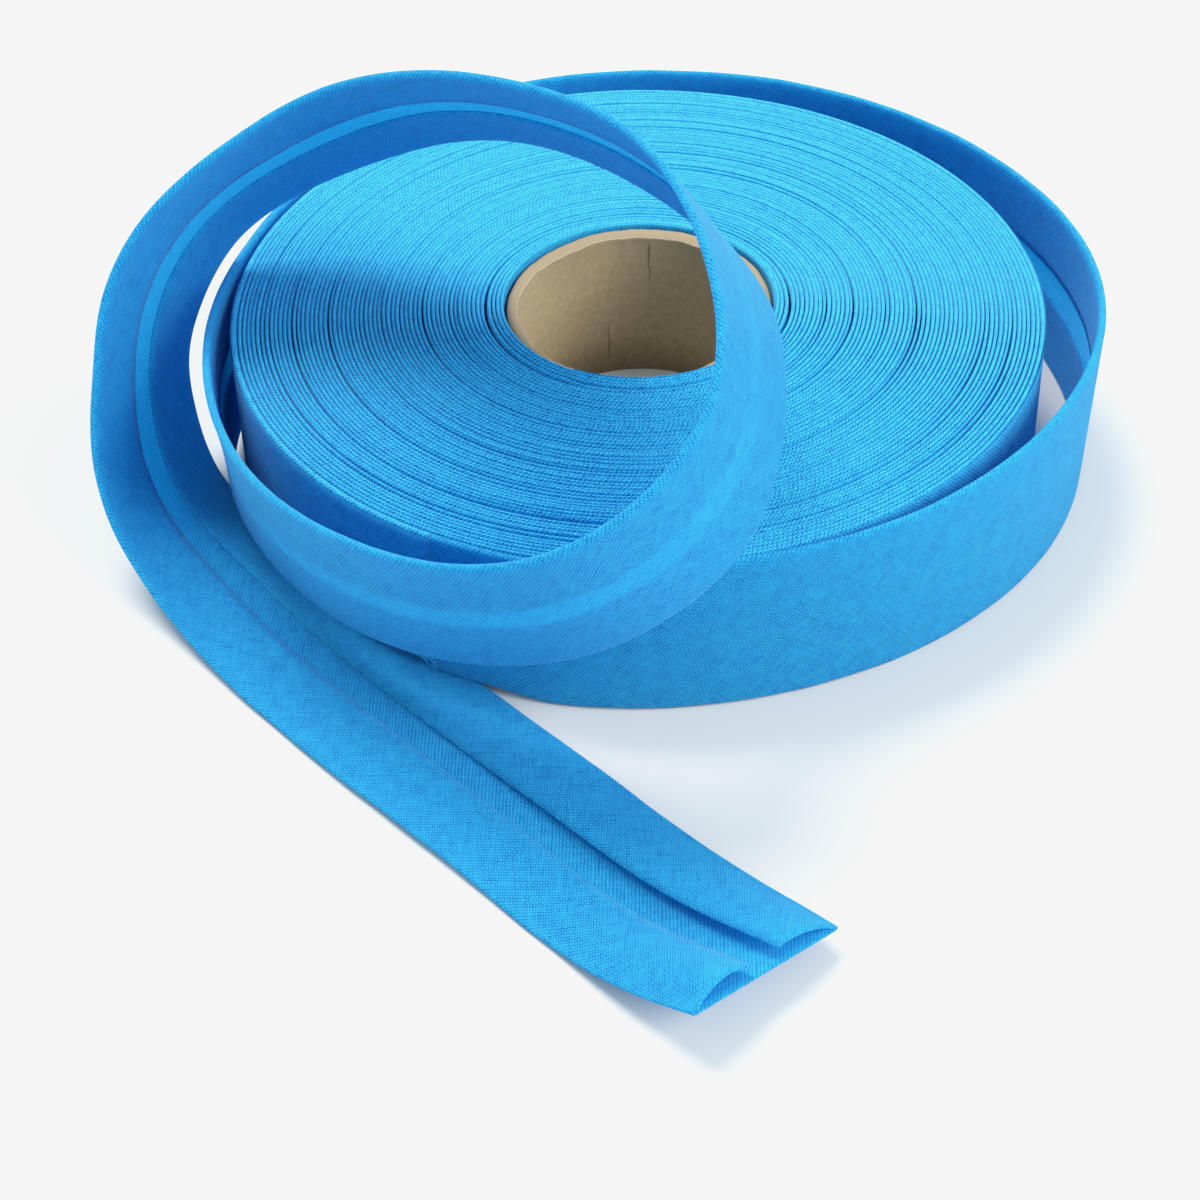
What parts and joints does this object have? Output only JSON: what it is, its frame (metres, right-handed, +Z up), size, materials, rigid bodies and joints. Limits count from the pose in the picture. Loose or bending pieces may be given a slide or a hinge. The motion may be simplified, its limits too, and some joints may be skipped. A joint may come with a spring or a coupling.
{
  "type": "roll of bias binding",
  "caption": "Roll of folded blue cotton bias binding wound on a cardboard core, lying flat, its loose end stood round the roll, looped over it and laid on the table.",
  "frame": {"origin": "on the table, under the middle of the whole box", "axes": "+Z up along the roll's axis, -Y towards the loose end's cut end, +X to the right of it"},
  "size_m": [0.1441, 0.182, 0.0693],
  "materials": {
    "tape_cloth": "matt plain-weave cotton cut on the bias, sky blue",
    "core_board": "raw grey-brown cardboard, paler at the cut rim"
  },
  "bodies": {
    "root": {"winding": "tape_cloth", "core": "core_board", "loose_end": "tape_cloth"}
  },
  "joints": []
}
